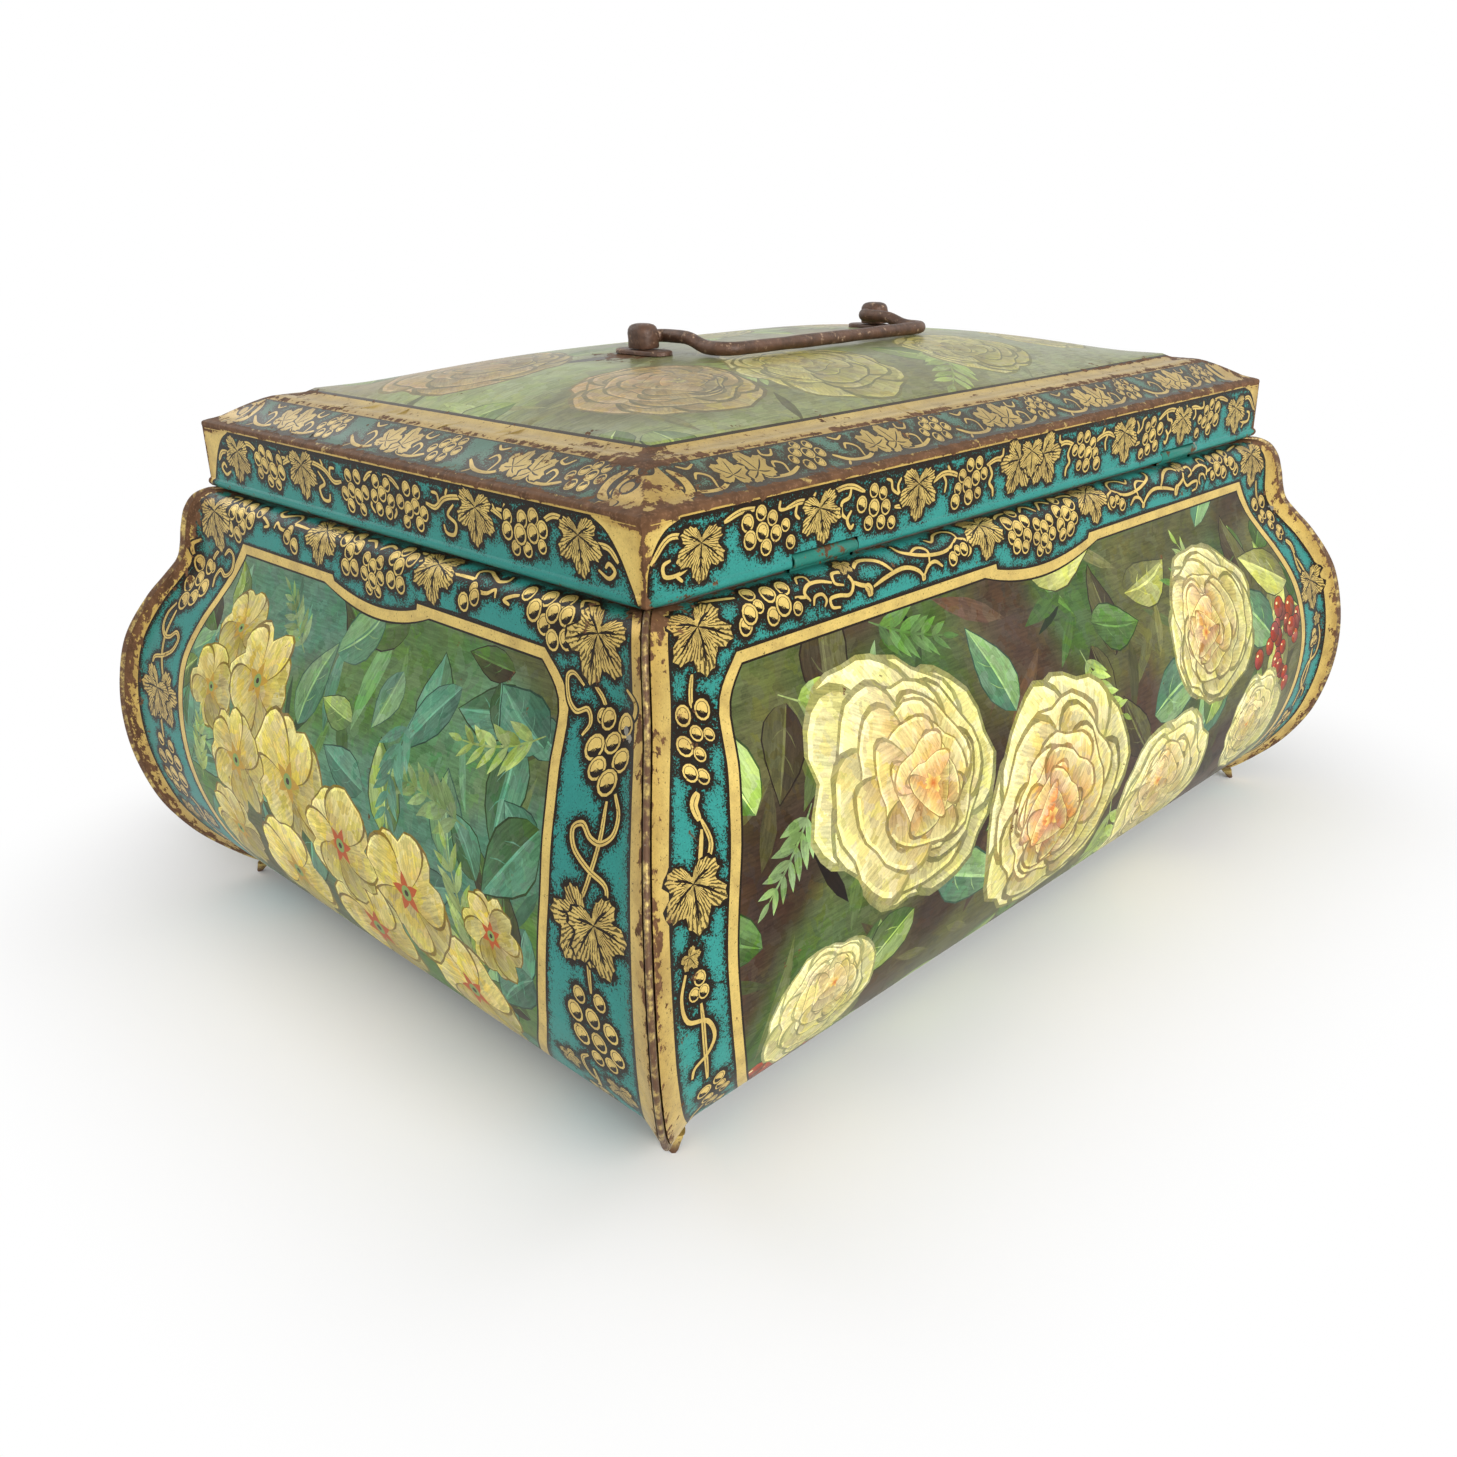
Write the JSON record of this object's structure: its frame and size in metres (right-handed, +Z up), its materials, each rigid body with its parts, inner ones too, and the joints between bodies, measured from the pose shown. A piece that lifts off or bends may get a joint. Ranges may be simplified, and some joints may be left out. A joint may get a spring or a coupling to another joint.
{
  "type": "hinged tin casket",
  "caption": "Bombé tin casket with swelling sides, corner seams ending in toes, a hinged domed lid and a swinging bail handle.",
  "frame": {"origin": "on the ground, under the middle of the box", "axes": "+Z up; +X along the long side; +Y towards the hinges"},
  "size_m": [0.2624, 0.1998, 0.1365],
  "materials": {
    "printed_tin": "teal and gold litho print under worn clear varnish",
    "gold_lacquered_tin": "gold lacquer over tinplate, rusted where rubbed through",
    "bare_tin": "dull unprinted tinplate with light rust",
    "rusted_iron": "dark brown rusted iron wire and straps"
  },
  "bodies": {
    "box": {"back_panel": "printed_tin", "front_panel": "printed_tin", "right_panel": "printed_tin", "left_panel": "printed_tin", "corner_seam_back_right": "gold_lacquered_tin", "corner_seam_back_left": "gold_lacquered_tin", "corner_seam_front_left": "gold_lacquered_tin", "corner_seam_front_right": "gold_lacquered_tin", "base_plate": "bare_tin", "collar": "bare_tin", "hinge_leaf_right": "printed_tin", "hinge_leaf_left": "printed_tin"},
    "lid": {"lid_top": "printed_tin", "lid_skirt": "printed_tin", "edge_wire": "rusted_iron", "handle_post_right": "rusted_iron", "handle_post_left": "rusted_iron", "foot_plate_right": "rusted_iron", "foot_plate_left": "rusted_iron", "clinch_washer_right": "bare_tin", "clinch_washer_left": "bare_tin"},
    "handle": {"bail_handle": "rusted_iron"}
  },
  "joints": [
    {"name": "lid_hinge", "type": "hinge", "parent": "box", "child": "lid", "pos_m": [0, 0.07605, 0.1023], "axis": [-1, 0, 0], "range_deg": [0, 120]},
    {"name": "handle_swing", "type": "hinge", "parent": "lid", "child": "handle", "pos_m": [0, 0, 0.13359], "axis": [1, 0, 0], "range_deg": [0, 189]}
  ]
}
